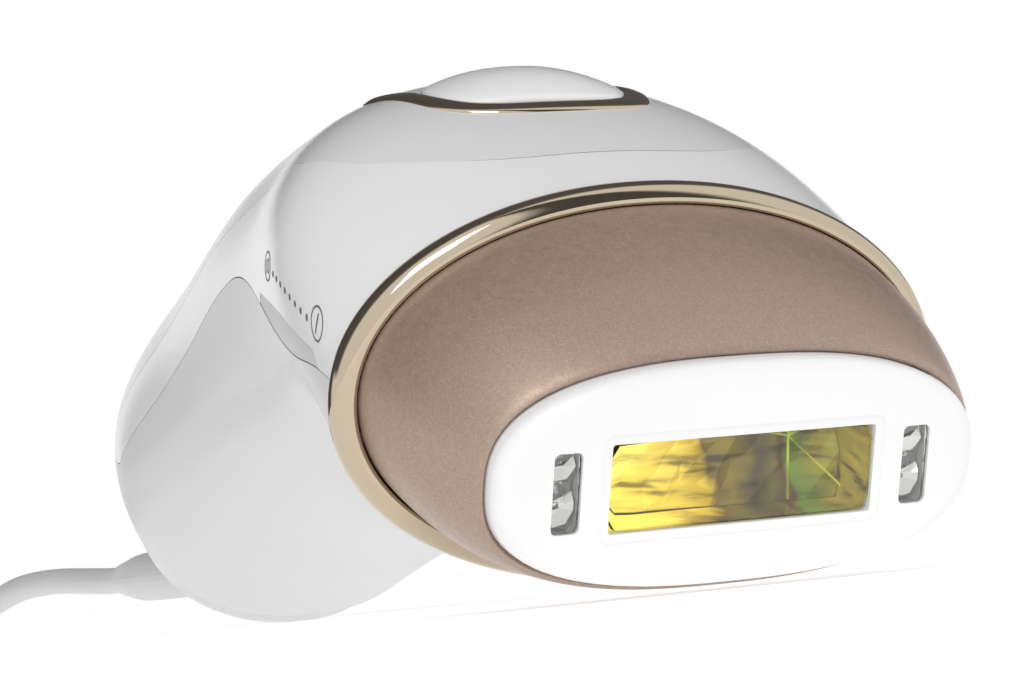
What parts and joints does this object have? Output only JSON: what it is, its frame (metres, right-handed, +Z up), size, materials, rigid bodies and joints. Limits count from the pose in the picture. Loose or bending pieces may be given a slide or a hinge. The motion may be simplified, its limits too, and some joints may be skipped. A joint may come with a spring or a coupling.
{
  "type": "hair removal device",
  "caption": "Corded handheld light-pulse hair remover with a gently bent handle, oval treatment head, bright trim ring and thumb-side flash button, lying on its head lip and handle end.",
  "frame": {"origin": "on the surface it lies on, below the middle of the handset's own box (cord, coil and adapter left out)", "axes": "+Y runs from the treatment head to the handle's cord end, +X is the device's right seen from behind the handle, +Z is up from the surface it lies on"},
  "size_m": [0.1308, 0.3866, 0.0708],
  "materials": {
    "black_plastic": "black moulded plastic",
    "board_green": "green lacquered circuit board",
    "capacitor_sleeve": "dark printed sleeve",
    "champagne_chrome": "pale champagne-gold bright plating over plastic",
    "copper_winding": "enamelled copper winding",
    "cord_grey_white": "pale grey-white soft vinyl, satin",
    "face_white": "bright white smooth plastic",
    "filter_yellow": "yellow filter glass",
    "gloss_white": "smooth white injection-moulded plastic with a soft gloss",
    "lamp_quartz": "clear quartz tube",
    "mirror_aluminium": "polished reflector aluminium",
    "plain_aluminium": "plain matt aluminium",
    "screw_steel": "bright plated steel",
    "taupe_metallic": "warm taupe-bronze plastic with a fine metallic paint, satin",
    "vent_grey": "pale grey satin plastic",
    "window_clear": "clear glass"
  },
  "bodies": {
    "handset": {"adapter_case": "gloss_white", "adapter_cord": "cord_grey_white", "adapter_pin_left": "screw_steel", "adapter_pin_right": "screw_steel", "adapter_relief": "cord_grey_white", "board_screw_1": "screw_steel", "board_screw_2": "screw_steel", "board_screw_3": "screw_steel", "board_screw_4": "screw_steel", "button_board": "board_green", "button_trim": "champagne_chrome", "chassis": "black_plastic", "control_chip": "black_plastic", "cord_coil": "cord_grey_white", "cord_socket": "gloss_white", "cord_tie": "black_plastic", "fan_axle": "screw_steel", "fan_housing": "black_plastic", "filter_glass": "filter_yellow", "flash_capacitor": "capacitor_sleeve", "flash_lamp": "lamp_quartz", "flash_switch": "black_plastic", "front_shell": "gloss_white", "grip_shell": "gloss_white", "heat_sink": "plain_aluminium", "lamp_electrode_left": "screw_steel", "lamp_electrode_right": "screw_steel", "lamp_holder_left": "black_plastic", "lamp_holder_right": "black_plastic", "main_board": "board_green", "nose_plate": "gloss_white", "nose_screw_1": "screw_steel", "nose_screw_2": "screw_steel", "nose_screw_3": "screw_steel", "nose_screw_4": "screw_steel", "power_cord": "cord_grey_white", "power_inductor": "black_plastic", "power_switch": "black_plastic", "reflector": "mirror_aluminium", "spine_cover": "gloss_white", "strain_relief": "cord_grey_white", "trigger_transformer": "copper_winding", "trim_ring": "champagne_chrome", "vent_insert_left": "vent_grey", "vent_insert_right": "vent_grey"},
    "treatment_head": {"head_collar": "taupe_metallic", "head_face": "face_white", "head_rear_frame": "black_plastic", "light_channel": "mirror_aluminium", "sensor_chip_left": "plain_aluminium", "sensor_chip_right": "plain_aluminium", "sensor_window_left": "window_clear", "sensor_window_right": "window_clear", "window_glass": "window_clear"},
    "flash_button": {"flash_button": "gloss_white"},
    "power_button": {"power_button": "gloss_white"},
    "fan_rotor": {"fan_rotor": "black_plastic"}
  },
  "joints": [
    {"name": "head_pull_off", "type": "slide", "parent": "handset", "child": "treatment_head", "axis": [0, -1, 0], "range_m": [0, 0.035]},
    {"name": "flash_button_press", "type": "slide", "parent": "handset", "child": "flash_button", "axis": [0, 0.3221, -0.9467], "range_m": [0, 0.0012], "stiffness_N_per_m": 1500, "springref_m": -0.0005},
    {"name": "power_button_press", "type": "slide", "parent": "handset", "child": "power_button", "axis": [0, -0.3018, -0.9534], "range_m": [0, 0.0008], "stiffness_N_per_m": 1500, "springref_m": -0.0005},
    {"name": "fan_spin", "type": "hinge", "parent": "handset", "child": "fan_rotor", "pos_m": [0, -0.01853, 0.04248], "axis": [0, -0.9913, 0.1316], "continuous": true}
  ]
}
